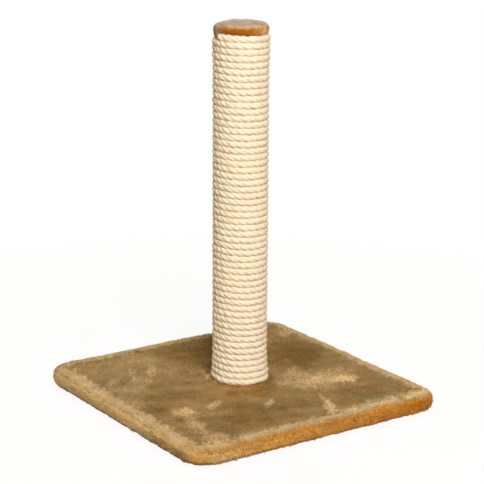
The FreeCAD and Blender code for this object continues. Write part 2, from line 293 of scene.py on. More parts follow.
def ropeLine():
    # The winding with a straight end of one diameter at both ends, read off at even steps of its length
    fine = windingPoints(np.linspace(0, rope["turns"], 40001))
    footEnd = fine[:1] + unit(fine[:1] - fine[1:2]) * rope["diameter"]
    headEnd = fine[-1:] + unit(fine[-1:] - fine[-2:-1]) * rope["diameter"]
    line = np.vstack((footEnd, fine, headEnd))
    run = np.concatenate(([0], np.cumsum(np.linalg.norm(np.diff(line, axis=0), axis=1))))
    closing = rope["strandRadius"] * (1 - np.cos(np.linspace(0.2, fullTurn / 4, 5)))
    middle = np.linspace(closing[-1], run[-1] - closing[-1], round(run[-1] / rope["ringSpacing"]))
    along = np.concatenate((closing[:-1], middle, run[-1] - closing[-2::-1]))
    points = np.stack([np.interp(along, run, line[:, axis]) for axis in range(3)], axis=1)
    way = unit(np.gradient(points, along, axis=0))
    outward = points * (1, 1, 0)
    outward = unit(outward - way * np.sum(outward * way, axis=1, keepdims=True))
    return along, points, way, outward, np.cross(way, outward)


def sisalPaint():
    paint = Paint("sisal", {"Roughness": 0.82, "Specular IOR Level": 0.25})
    fibre = paint.attribute("fibre", "Vector")
    streak = paint.noise(paint.stretched(fibre, (3.4, 3.4, 0.16)), 1.0, 3.0, 0.6)
    hair = paint.noise(paint.stretched(fibre, (9.0, 9.0, 0.3)), 1.0, 2.0, 0.6)
    length = paint.noise(paint.stretched(fibre, (0.05, 0.05, 0.012)), 1.0, 2.0, 0.5)
    share = (streak - 0.5) * 1.5 + (hair - 0.5) * 0.9 + (length - 0.5) * 0.8 + 0.62
    colour = paint.mixColour(share, tone(*rope["straw"]), tone(*rope["paleStraw"]))
    # Painted shade in the grooves between the strands, where the depth attribute is low
    grooveShade = (1 - paint.attribute("depth")) * (0.2 + hair * 0.5)
    colour = paint.mixColour(grooveShade, colour, tone(*rope["darkStraw"]))
    return paint.finish(BaseColor=colour, Normal=paint.bump(streak * 0.6 + hair * 0.5, 0.6, 0.0005))


def makeStrand(number, line, paint):
    # Each ring sits beside the rope's centre line, turned by one full turn per lay. In the rope's own
    # cross-section it is an ellipse, widened by the strand's lean. The whole section is then pressed
    # taller where another turn or the cap lies against it, and stretched outwards on its outer side. Its
    # ends close as a ball does.
    along, points, _, outward, upward = line
    size = rope["strandRadius"]
    offset = rope["diameter"] / 2 - size
    turned = fullTurn * (along / rope["lay"] + number / rope["strands"])
    turned += rope["wander"] * ripple(along, 90, 3)
    toEnd = np.minimum(along, along[-1] - along)
    closing = np.sqrt(1 - np.clip(1 - toEnd / size, 0, 1) ** 2)
    thick = size * (1 + rope["unevenness"] * ripple(along, 16, 11 + number)) * np.maximum(closing, 0.05)
    lean = math.atan(fullTurn * offset / rope["lay"])
    around = np.linspace(0, fullTurn, rope["sides"], endpoint=False)
    shift = offset * (1 + rope["offsetUnevenness"] * ripple(along, 23, 31 + number))
    out = shift[:, None] + thick[:, None] * np.cos(around)
    side = thick[:, None] * np.sin(around) / math.cos(lean)
    cosine, sine = np.cos(turned)[:, None], np.sin(turned)[:, None]
    proud = out * cosine - side * sine
    proud = np.where(proud > 0, proud * rope["proud"], proud)
    tall = out * sine + side * cosine
    turnLength = fullTurn * rope["radius"]
    pressedBelow = smoothStep((along / turnLength - 0.8) / 0.4)[:, None]
    tall *= 1 + (rope["taller"] - 1) * np.where(tall < 0, pressedBelow, 1)
    slack = rope["slackUp"] * ripple(along, 45, 51)[:, None] * upward
    slack += rope["slackOut"] * ripple(along, 33, 52)[:, None] * outward
    grid = (points + slack)[:, None] + proud[:, :, None] * outward[:, None]
    grid += tall[:, :, None] * upward[:, None]
    rings, sides = grid.shape[:2]
    twist = around + 2 * turned[:, None]
    lengthwise = np.repeat(along[:, None], sides, 1)
    fibre = np.stack((thick[:, None] * np.cos(twist), thick[:, None] * np.sin(twist), lengthwise), -1)
    # The depth attribute sets the painted groove shade: none on the strands' outer crowns, most deep in the
    # grooves, and more on the side towards the post
    fromMiddle = np.hypot(out, side) / (rope["diameter"] / 2)
    depth = np.clip((fromMiddle - rope["grooveFrom"]) / rope["grooveWidth"], 0, 1)
    depth *= 1 - 0.25 * smoothStep((2.4 - proud) / 2.4)
    poles = np.stack((grid[0].mean(axis=0), grid[-1].mean(axis=0)))
    everyPoint = np.vstack((grid.reshape(-1, 3), poles))
    attributes = {
        "fibre": np.vstack((fibre.reshape(-1, 3), fibre[0].mean(axis=0), fibre[-1].mean(axis=0))),
        "depth": np.concatenate((depth.ravel(), (0.6, 0.6))),
    }
    groups = tubeFaces(rings, sides)
    makePiece(f"ropeStrand{number + 1}", everyPoint, groups, paint, attributes, "sisal_rope")


def makeFibres(line, paint):
    # Loose hairs: thin three-sided spikes that leave the rope's skin along it and bend away. Some are
    # bunched at the two ends, and some fray from the underside of the lowest turn.
    along, points, way, outward, upward = line
    chance = np.random.default_rng(77)
    count, atEnds, nearFoot = rope["fibres"], rope["endFibres"], rope["footFibres"]
    atFoot = slice(2 * atEnds, 2 * atEnds + nearFoot)
    rings, sides = 4, 3
    lowest = np.searchsorted(along, fullTurn * rope["radius"])
    chosen = chance.integers(4, len(along) - 4, count)
    chosen[:atEnds] = chance.integers(1, 5, atEnds)
    chosen[atEnds:2 * atEnds] = len(along) - 1 - chance.integers(1, 5, atEnds)
    chosen[atFoot] = chance.integers(4, lowest, nearFoot)
    angle = chance.uniform(-1.5, 1.5, count)
    angle[atFoot] = chance.uniform(-1.9, -0.6, nearFoot)
    skin = np.cos(angle)[:, None] * outward[chosen] + np.sin(angle)[:, None] * upward[chosen]
    root = points[chosen] + skin * rope["diameter"] * 0.47
    sense = np.where(chance.random(count) < 0.5, -1.0, 1.0)
    sense[:atEnds], sense[atEnds:2 * atEnds] = -1.0, 1.0
    reach = chance.uniform(*rope["fibreReach"], count)[:, None]
    reach[:2 * atEnds] *= 0.35
    reach[atFoot] *= 0.5
    lift = chance.uniform(0.05, 0.36, count)[:, None]
    lift[atFoot] *= 2.4
    sway = chance.normal(0, 0.16, (count, 3))
    heading = unit(way[chosen] * sense[:, None] + skin * lift + sway)
    curl = unit(skin + chance.normal(0, 0.5, (count, 3)))
    share = np.linspace(0, 1, rings)[None, :, None]
    spine = root[:, None] + heading[:, None] * reach[:, None] * share
    spine += curl[:, None] * (rope["fibreCurl"] * reach[:, None]) * share ** 2
    thick = np.full((count, 1, 1), rope["fibreThick"])
    thick[atFoot] = rope["footFibreThick"]
    thin = thick * (1 - 0.75 * share)
    sideOne = unit(np.cross(heading, curl))
    sideTwo = np.cross(heading, sideOne)
    turn = (fullTurn * np.arange(sides) / sides)[None, None, :, None]
    ring = np.cos(turn) * sideOne[:, None, None] + np.sin(turn) * sideTwo[:, None, None]
    grid = spine[:, :, None] + thin[:, :, None] * ring
    perHair = rings * sides
    groups = repeated([ringFaces(rings, sides), np.array(((2, 1, 0), (9, 10, 11)))], count, perHair)
    fibre = np.repeat(chance.uniform(0, 60, (count, 3)), perHair, axis=0)
    # The hairs take almost none of the painted groove shade
    attributes = {"fibre": fibre, "depth": np.full(count * perHair, 0.95)}
    makePiece("ropeFibres", grid.reshape(-1, 3), groups, paint, attributes)


# Short plush, shared by the base and the cap. Each pair is the pile in painted shade and in painted sheen,
# its dark and its light side; the warm pairs give the deeper orange that is painted in as shading.
plush = {
    "dark": (130, 99, 42),
    "light": (238, 209, 162),
    "warmDark": (194, 118, 6),
    "warmLight": (236, 192, 112),
    "crownDark": (148, 130, 88),
    "crownLight": (226, 209, 202),
    "crownWarmDark": (172, 102, 14),
    "crownWarmLight": (240, 196, 128),
}


def plushPaint(name, dark, light, warmDark, warmLight):
    sockets = {"Roughness": 0.95, "Specular IOR Level": 0.10, "Sheen Weight": 0.05, "Sheen Roughness": 0.5}
    paint = Paint(name, sockets)
    place = paint.objectPlace()
    fine = paint.noise(place, 1100.0, 2.0, 0.6)
    clump = paint.noise(place, 260.0, 3.0, 0.55)
    speckle = (clump - 0.5) * 0.45 + (fine - 0.5) * 0.35 + (paint.attribute("tuft") - 0.5) * 0.25
    # Each point's painted sheen and shade, speckled, picks between the dark and the light colour, and its
    # warm share mixes in the orange painted in as shading
    share = paint.attribute("nap") + speckle * (paint.attribute("nap") * 0.8 + 0.4)
    cool = paint.mixColour(share, tone(*plush[dark]), tone(*plush[light]))
    warm = paint.mixColour(share, tone(*plush[warmDark]), tone(*plush[warmLight]))
    colour = paint.mixColour(paint.attribute("warm"), cool, warm)
    return paint.finish(BaseColor=colour, Normal=paint.bump(fine * 0.6 + clump, 0.6, 0.0012))


def plushLooks(points, normals, sheenAndShadeOf, warmOf):
    tuft = np.full(len(points), 0.5)
    return {"nap": sheenAndShadeOf(points, normals), "warm": warmOf(points, normals), "tuft": tuft}


base = {
    "half": 200.0,
    "corner": 34.0,
    "top": 23.7,
    "topRounding": 11.0,
    "footRounding": 8.0,
    "cornerRounding": 2.4,      # more than that under the corners
    "inset": 1.7,               # the backing lies this far in, so that the pile's tips reach the full size
    "perSide": 155,             # columns
    "perCorner": 25,
    "recess": 38.0,             # radius of the crushed plush under the post
    "recessLevel": 21.6,
    "lip": ((0.4, 1.2, 0.5), (0.9, 2.0, 1), (1.5, 2.1, 1), (2.3, 2.1, 1), (3.6, 2.1, 1), (5.0, 2.1, 1)),
    "lipWidth": 6.6,            # from the recess to where the flat top starts
    "topRows": 70,
    "collar": 4.2,              # most that the pile round the foot is pushed up under the rope
    "collarGap": 0.15,          # kept between it and the rope
    "hole": 4.5,
    "inside": 195.1,            # half side of the cover's inner face
    "insideTop": 19.66,
    "hemOpening": 159.0,
    "hemCorner": 12.0,
    "hemTop": 1.5,
    "stapleRow": 179.0,
    "stapleSpacing": 63.6,
    "stapleCorner": 173.14,
    "dimple": 1.05,             # how far the hem is drawn up over a staple,
    "dimpleLong": 8.5,          # along its crown
    "dimpleWide": 3.0,          # and across it
    "dimpleMost": 1.1,
    "locks": 66000,
    "locksInPiece": 18000,
    "lockLength": 3.4,
    "lockWidth": 0.75,
    "ridge": 25.0,              # how wide the painted highlight along the edges is
    "napLevel": 0.22,
    "collarShade": 0.16,        # how much painted shade the pile gets where the collar is highest
    # Brushed patches of painted sheen: x, y, how long, how wide, degrees turned, and how much lighter (or
    # darker) the nap is painted
    "strokes": [
        (125, -82, 17, 14, 20, 0.75),
        (108, -66, 48, 26, 25, 0.26),
        (70, -44, 44, 24, 60, 0.24),
        (40, -154, 26, 7, 68, 0.52),
        (52, -122, 18, 4, 76, 0.26),
        (-132, -66, 17, 13, 15, 0.44),
        (-86, -66, 17, 8, 25, 0.38),
        (-17, -99, 13, 6, 30, 0.42),
        (-144, -108, 34, 9, 76, 0.26),
        (-150, -164, 20, 12, 10, 0.26),
        (-134, 54, 30, 15, 35, 0.20),
        (-158, 80, 16, 8, 60, 0.22),
        (-116, 96, 26, 5, 62, 0.22),
        (-84, 98, 26, 5, 60, 0.22),
        # a thin painted highlight beside the post's left side
        (-34, 30, 30, 4, 72, 0.30),
        (100, 28, 12, 6, 60, 0.22),
        (84, -10, 14, 6, 40, 0.24),
        (172, 134, 24, 12, 60, 0.24),
        (120, -178, 74, 10, 0, 0.30),
        (-120, -178, 60, 9, 0, 0.12),
        (-22, -54, 44, 14, -8, -0.04),
        (-110, 120, 80, 60, 0, 0.12),
        (-60, -130, 80, 36, 6, -0.10),
        (-150, -20, 34, 18, 80, -0.12),
        (110, -136, 50, 24, 0, -0.08),
        (130, 50, 70, 38, 60, -0.20),
        (-10, 130, 56, 44, 60, -0.14),
    ],
}


def squareColumns():
    # A rounded square's outline is anchor x (half side - corner radius) + normal x corner radius
    slide = np.linspace(-1, 1, base["perSide"], endpoint=False)
    bend = np.linspace(0, fullTurn / 4, base["perCorner"], endpoint=False)
    anchors = np.vstack((np.stack((np.ones_like(slide), slide), 1), np.ones((len(bend), 2))))
    normals = np.vstack((np.tile((1.0, 0.0), (len(slide), 1)), np.stack((np.cos(bend), np.sin(bend)), 1)))
    quarters = [np.array(((c, s), (-s, c))) for c, s in ((1, 0), (0, 1), (-1, 0), (0, -1))]
    return [np.vstack([vectors @ quarter for quarter in quarters]) for vectors in (anchors, normals)]


def coverRows():
    # The cover's section, from the bolt hole out over the top, down the side, under the hem and back
    # inside. A row is (share of square, half side, corner radius, circle radius, level, pile share).
    half, corner, rounding, foot = base["half"], base["corner"], base["topRounding"], base["footRounding"]
    rows = [(0, 0, 0, base["hole"], base["insideTop"], 0), (0, 0, 0, base["hole"], base["recessLevel"], 0)]
    rows += [(0, 0, 0, radius, base["recessLevel"], 0) for radius in np.linspace(9, base["recess"], 4)]
    for out, rise, pile in base["lip"]:
        rows.append((0, 0, 0, base["recess"] + out, base["recessLevel"] + rise, pile))
    lipEnd = base["recess"] + base["lipWidth"]
    for share in np.linspace(0, 1, base["topRows"]):
        rows.append((share, half - rounding, corner - rounding, lipEnd, base["top"], 1))
    for angle in np.linspace(0, fullTurn / 4, 9)[1:]:
        out = rounding * (math.sin(angle) - 1)
        rows.append((1, half + out, corner + out, 0, base["top"] - rounding * (1 - math.cos(angle)), 1))
    rows += [(1, half, corner, 0, level, 1) for level in np.linspace(base["top"] - rounding, foot, 6)[1:]]
    for angle in np.linspace(0, fullTurn / 4, 6)[1:]:
        out = foot * (math.cos(angle) - 1)
        rows.append((1, half + out, corner + out, 0, foot * (1 - math.sin(angle)), 0.8))
    for share in np.linspace(0, 1, 17)[1:]:
        side = half - foot + (base["hemOpening"] - half + foot) * share
        rows.append((1, side, corner - foot + (base["hemCorner"] - corner + foot) * share, 0, 0.0, 0.15))
    rows += [(1, base["hemOpening"], base["hemCorner"], 0, level, 0) for level in (0.5, 1.0, base["hemTop"])]
    inside, insideTop = base["inside"], base["insideTop"]
    inner = inside - half + corner
    rows += [(1, inside, inner, 0, base["hemTop"], 0), (1, inside, inner, 0, insideTop, 0)]
    rows += [(share, inside, inner, base["hole"] + 6, insideTop, 0) for share in (0.66, 0.33, 0)]
    return np.array(rows)


def stapleDimples(points):
    # How far the hem is drawn up over each staple: a long, narrow bell along the staple's crown
    spots = [(place, -base["stapleRow"], 0.0) for place in base["stapleSpacing"] * np.arange(-2, 3)]
    spots.append((base["stapleCorner"], -base["stapleCorner"], fullTurn / 8))
    up = np.zeros(len(points))
    for quarter in range(4):
        c, s = math.cos(quarter * fullTurn / 4), math.sin(quarter * fullTurn / 4)
        for x, y, lean in spots:
            away = points[:, :2] - (x * c - y * s, x * s + y * c)
            angle = quarter * fullTurn / 4 + lean
            long = away @ (math.cos(angle), math.sin(angle))
            wide = away @ (-math.sin(angle), math.cos(angle))
            bell = np.exp(-(long / base["dimpleLong"]) ** 4 - (wide / base["dimpleWide"]) ** 2)
            up += base["dimple"] * bell
    return np.minimum(up, base["dimpleMost"])


def footCollar(points):
    # The pile round the foot is pushed up against the underside of the lowest turn, which is a circle's
    # lower half about the winding and rises with it. Across the radius the rise is a short step up and a
    # longer one down. It ends where the rope's straight end lies.
    reach = np.hypot(points[:, 0], points[:, 1])
    azimuth = np.degrees(np.arctan2(points[:, 1], points[:, 0]))
    turned = ((rope["footAzimuth"] - azimuth) % 360) / 360
    centre = windingPoints(turned)
    radius = rope["diameter"] / 2 * rope["proud"]
    out = np.clip(reach - np.hypot(centre[:, 0], centre[:, 1]), -radius, radius)
    underside = centre[:, 2] - np.sqrt(radius ** 2 - out ** 2)
    high = np.clip(underside - base["collarGap"] - base["top"] + base["inset"], 0, base["collar"])
    high *= 1 - smoothStep((turned - 0.93) / 0.03)
    past = reach - base["recess"]
    return high * smoothStep(past / 1.2) * (1 - smoothStep((past - 2.2) / 11)) * (past > 0)


def baseSheenAndShade(points, normals):
    # How light the pile is painted, 0 dark to 1 light: ripples, brushed patches of painted sheen, each a bell
    # cut off at a ragged edge and frosted inside, a painted highlight along the top's edges, painted shade on
    # the collar round the foot and along the sides' lowest few millimetres, and sides painted by which way
    # they face, darkening towards one end
    flat = points * (1, 1, 0.4)
    grain = 0.6 * ripple(flat, 13, 103) + 0.5 * ripple(flat, 6, 106)
    frost = ripple(points[:, :2] @ np.array(((0.55, -0.85), (0.28, 0.45))), 4.5, 107)
    nap = base["napLevel"] + 0.06 * ripple(flat, 90, 101) + 0.07 * ripple(flat, 34, 102) + 0.06 * grain
    upFacing = smoothStep((normals[:, 2] - 0.75) / 0.2)
    ragged = points[:, :2] + 4 * np.stack((ripple(flat, 17, 104), ripple(flat, 17, 105)), 1)
    brushedSheen = 0
    for x, y, length, width, turned, lighter in base["strokes"]:
        angle = math.radians(turned)
        away = ragged - (x, y)
        long = away @ (math.cos(angle), math.sin(angle)) / length
        wide = away @ (-math.sin(angle), math.cos(angle)) / width
        bell = np.exp(-long ** 2 - wide ** 2) * (1 + 0.5 * grain + 0.3 * frost)
        brushedSheen = brushedSheen + lighter * smoothStep((bell - 0.12) / 0.6)
    nap += upFacing * brushedSheen * (1 + 0.5 * frost * (brushedSheen > 0))
    toEdge = base["half"] - np.abs(points[:, :2]).max(axis=1)
    ridge = smoothStep((base["ridge"] - toEdge) / 9 + 0.7 * grain + 0.3 * frost)
    ridge *= smoothStep((normals[:, 2] - 0.1) / 0.3)
    side = 1 - smoothStep((np.abs(normals[:, 2]) - 0.2) / 0.5)
    endOn = np.abs(normals[:, 0]) ** 2
    # Painted highlight along the top's edges, turning to a little painted shade where the rounding faces
    # along Y
    nap += ridge * (0.42 - 0.56 * np.abs(normals[:, 1]))
    # Painted shade on the pile pushed up round the foot
    nap -= base["collarShade"] * footCollar(points) / base["collar"]
    # Sides painted lighter or darker by which way they face: light where they face along X, darker towards
    # the -Y end, and on the sides facing along Y lighter towards -X
    fading = 0.58 + 0.38 * np.tanh((points[:, 1] + 80) / 30)
    nap += side * (endOn * fading + (1 - endOn) * (0.20 - 0.38 * points[:, 0] / base["half"]))
    # Painted shade along the lowest few millimetres of the sides
    nap -= 0.55 * side * (1 - smoothStep((points[:, 2] - 1.5 - 1.5 * grain) / 4))
    return np.clip(nap, 0, 1)


def baseWarm(points, normals):
    # How orange the pile is painted, which on the sides stands in for their shading by which way they face:
    # most on the sides that face along Y, less on the other two, and a little in front of the foot
    along = smoothStep((np.abs(normals[:, 1]) - 0.12) / 0.5)
    along *= 1 - smoothStep((np.abs(normals[:, 2]) - 0.75) / 0.2)
    along *= 0.95 + 0.08 * points[:, 0] / base["half"] - 0.40 * smoothStep((-90 - points[:, 0]) / 90)
    end = 0.22 * np.abs(normals[:, 0]) ** 2
    reach = np.hypot((points[:, 0] + 30) * 0.8, points[:, 1] + 48)
    foot = 0.28 * np.exp(-(reach / 34) ** 2) * (normals[:, 2] > 0.5)
    return np.clip(along + end + foot + 0.06 + 0.10 * ripple(points, 40, 121), 0, 1)


def gridNormals(grid, topRow, closedRows=False):
    # Normal of each grid point: along the ring crossed with across the rings, so turned that topRow faces up
    around = np.roll(grid, -1, axis=1) - np.roll(grid, 1, axis=1)
    if closedRows:
        across = np.roll(grid, -1, axis=0) - np.roll(grid, 1, axis=0)
    else:
        across = np.gradient(grid, axis=0)
    normals = np.cross(across, around)
    normals = normals / np.maximum(np.linalg.norm(normals, axis=-1, keepdims=True), 1e-9)
    return -normals if normals[topRow, 0, 2] < 0 else normals


def makeBaseCover(paint):
    # The section's rows run round the rounded square. Under the corners the lower rounding's radius grows:
    # a point at angle a on it moves in by the growth x (1 - cos a) and up by the growth x (1 - sin a).
    anchors, normals = squareColumns()
    outline = unit(anchors * (base["half"] - base["corner"]) + normals * base["corner"])
    share, half, corner, circle, level, pile = [column[:, None, None] for column in coverRows().T]
    flat = share * (anchors * (half - corner) + normals * corner) + (1 - share) * outline * circle
    foot, sideTop = base["footRounding"], base["top"] - base["topRounding"]
    growth = base["cornerRounding"] * smoothStep(np.abs(normals).min(axis=1) / 0.38)[:, None] * (pile > 0)
    sine = np.clip(1 - level / foot, 0, 1)
    onHem = np.clip((half - base["hemOpening"]) / (base["half"] - foot - base["hemOpening"]), 0, 1)
    flat = flat - normals * growth * (1 - np.sqrt(1 - sine ** 2)) * onHem
    level = level + growth * np.clip(np.minimum(level / foot, (sideTop - level) / (sideTop - foot)), 0, 1)
    grid = np.concatenate((flat, np.broadcast_to(level, (len(level), flat.shape[1], 1))), axis=2)
    facing = gridNormals(grid, topRow=40, closedRows=True)
    points, facing = grid.reshape(-1, 3), facing.reshape(-1, 3)
    pile = np.repeat(pile.ravel(), grid.shape[1])
    lumps = 0.45 * ripple(points, 30, 131) + 0.30 * ripple(points, 11, 132) + 0.22 * ripple(points, 5.5, 133)
    drawnIn = base["inset"] * smoothStep((facing[:, 2] + 0.9) / 0.5)
    points = points + facing * ((lumps - drawnIn) * pile)[:, None]
    points[:, 2] += footCollar(points) * (facing[:, 2] > 0.5)
    hem = (np.abs(points[:, 2]) < 0.6) & (facing[:, 2] < -0.5)
    points[:, 2] += np.where(hem, stapleDimples(points), 0)
    points[:, 2] = np.maximum(points[:, 2], 0.02)
    groups = [ringFaces(*grid.shape[:2], True)]
    looks = plushLooks(points, facing, baseSheenAndShade, baseWarm)
    makePiece("basePlush", points, groups, paint, looks, "base_cover")
    return points.reshape(grid.shape), facing.reshape(grid.shape), pile.reshape(grid.shape[:2])


def scatter(grid, facing, wanted, count, seed, closedRows=False):
    # Places spread evenly over a grid: a cell is drawn by its area, then a point inside it
    chance = np.random.default_rng(seed)
    rows, columns = grid.shape[:2]
    above = np.roll(grid, -1, axis=0)
    after = np.roll(grid, -1, axis=1)
    area = np.linalg.norm(np.cross(after - grid, above - grid), axis=-1) * wanted
    area[-1] = area[-1] if closedRows else 0
    cell = chance.choice(area.size, count, p=area.ravel() / area.sum())
    row, column = cell // columns, cell % columns
    up, on = chance.random(count)[:, None], chance.random(count)[:, None]
    nextRow, nextColumn = (row + 1) % rows, (column + 1) % columns

    def blend(field):
        low = field[row, column] * (1 - on) + field[row, nextColumn] * on
        high = field[nextRow, column] * (1 - on) + field[nextRow, nextColumn] * on
        return low * (1 - up) + high * up

    return blend(grid), unit(blend(facing))


def makeLocks(name, roots, facing, lean, settings, paint, sheenAndShadeOf, warmOf, seed):
    # Tufts of pile: a three-sided foot, a wider waist and a tip that leans with the nap
    chance = np.random.default_rng(seed)
    count, perTuft = len(roots), 7
    long = settings["lockLength"] * chance.uniform(0.65, 1.25, count)[:, None]
    wide = settings["lockWidth"] * chance.uniform(0.7, 1.3, count)[:, None]
    lean = lean + chance.normal(0, 0.28, (count, 3))
    lean = lean - facing * np.sum(lean * facing, axis=1, keepdims=True)
    heading = unit(facing * 0.55 + lean)
    across = unit(np.cross(facing, heading) + 1e-6)
    second = np.cross(heading, across)
    turn = (fullTurn * np.arange(3) / 3)[None, :, None]
    ring = np.cos(turn) * across[:, None] + 0.6 * np.sin(turn) * second[:, None]
    foot = (roots - facing * 0.7)[:, None] + 0.7 * wide[:, None] * ring
    waist = (roots + heading * long * 0.45)[:, None] + wide[:, None] * ring
    tip = (roots + heading * long - facing * long * 0.12)[:, None]
    points = np.concatenate((foot, waist, tip), axis=1).reshape(-1, 3)
    points[:, 2] = np.maximum(points[:, 2], 0.1)
    quads = np.array(((0, 1, 4, 3), (1, 2, 5, 4), (2, 0, 3, 5)))
    triangles = np.array(((2, 1, 0), (3, 4, 6), (4, 5, 6), (5, 3, 6)))
    # Painted shade at each tuft's foot and painted light at its tip
    footShade, waistShade, tipShade = -0.16, 0.02, 0.12
    shade = np.array((footShade,) * 3 + (waistShade,) * 3 + (tipShade,))
    attributes = {
        "nap": np.clip(np.repeat(sheenAndShadeOf(roots, facing), perTuft) + np.tile(shade, count), 0, 1),
        "warm": np.repeat(warmOf(roots, facing), perTuft),
        "tuft": np.repeat(chance.random(count), perTuft),
    }
    makePiece(name, points, repeated([quads, triangles], count, perTuft), paint, attributes)


def makeBaseLocks(cover, paint):
    # Locks everywhere but underneath. They lean in swirls that two broad ripples give, and a little down.
    grid, facing, pile = cover
    roots, normals = scatter(grid, facing, pile ** 2 * (facing[:, :, 2] > -0.75), base["locks"], 201, True)
    swirl = 1.4 * ripple(roots, 120, 202) + 0.7 * ripple(roots, 45, 203) - 0.6
    lean = np.stack((np.cos(swirl), np.sin(swirl), np.full(len(roots), -0.5)), 1)
    parts = np.array_split(np.arange(len(roots)), math.ceil(len(roots) / base["locksInPiece"]))
    for number, part in enumerate(parts):
        makeLocks(f"basePile{number + 1}", roots[part], normals[part], lean[part], base, paint,
                  baseSheenAndShade, baseWarm, 210 + number)


# The plush cap closes the post's top, and its band ends on the rope's last turn
cap = {
    "crown": 520.7,
    "dome": 1.6,
    "sag": 1.5,                 # how far the crown is pressed down on the picture's left
    "sagAzimuth": 146.0,
    "rimCentre": 29.2,
    "rimRadius": 7.0,
    "bandTuck": 1.5,            # how far the band draws in towards the rope
    "edgeRounding": 1.6,
    "skirtOut": 29.85,
    "skirtIn": 29.08,
    "skirtFoot": 480.2,
    "inside": 511.65,
    "columns": 300,
    "ropeFace": 182.4,          # azimuth of the rope's upper end
    "ropeGap": 0.15,            # between the band and the rope
    "step": 5.0,                # degrees in which the band's edge climbs back
    "napLevel": 0.50,
    # painted highlight along the rim
    "rimLight": 0.26,
    # painted shade down the band's front
    "frontShade": 0.70,
    "locks": 6000,
    "lockLength": 2.1,
    "lockWidth": 0.55,
}


def bandEdge(azimuth):
    # The band's lower edge lies on the rope's last turn: it falls steadily by one pitch from the rope's
    # end round to just before it, and climbs back by a smooth step over the last few degrees
    past = (azimuth - cap["ropeFace"]) % 360
    faceTurn = rope["turns"] + (rope["headAzimuth"] - cap["ropeFace"]) / 360
    centre = rope["footLevel"] + rope["pitch"] * (faceTurn - past / 360)
    rise = rope["pitch"] * (1 - smoothStep((360 - past) / cap["step"]))
    return centre + rope["diameter"] / 2 * rope["taller"] + cap["ropeGap"] + rise


def capSheenAndShade(points, normals):
    # Painted light and shade: light on the crown, a painted highlight along the rim, painted shade down the
    # band's front and left, and painted light to its right
    rim = np.exp(-((normals[:, 2] - 0.75) / 0.2) ** 2)
    down = smoothStep((cap["crown"] - 2.5 - points[:, 2]) / 6)
    front = capFront(points)
    grain = 0.12 * ripple(points, 16, 301) + 0.1 * ripple(points, 7, 302)
    right = np.clip(capAcross(points), 0, 1)
    left = np.clip(-capAcross(points), 0, 1)
    sides = (1 - front) * (0.40 * right - 0.18 * left)
    band = down * (sides - cap["frontShade"] * front * (1 - right))
    return np.clip(cap["napLevel"] + cap["rimLight"] * rim + band + grain, 0, 1)


def capFront(points):
    # 1 where the cap faces the front, 0 round the back: a step of the azimuth's cosine
    azimuth = np.arctan2(points[:, 1], points[:, 0])
    near = smoothStep(np.hypot(points[:, 0], points[:, 1]) / 20)
    return 1 - near * (1 - smoothStep((np.cos(azimuth - math.radians(240)) - 0.42) / 0.5))


def capAcross(points):
    # From -1 at the rim where the cap sags, through 0 at the middle, to 1 at the rim across from it
    return points[:, :2] @ lookWay(cap["sagAzimuth"] + 180, 0)[:2] / cap["rimCentre"]


def capWarm(points, normals):
    # Painted shading of the band, as deeper orange: most on its front, and more to its right than to its left
    band = 1 - smoothStep((normals[:, 2] - 0.6) / 0.35)
    outer = 0.12 * smoothStep((np.hypot(points[:, 0], points[:, 1]) - 8) / 26)
    front = capFront(points)
    orange = 0.30 + 0.70 * front + 0.44 * (1 - front) * np.clip(capAcross(points), 0, 1)
    return np.clip(band * orange + outer + 0.06 * ripple(points, 12, 303), 0, 1)


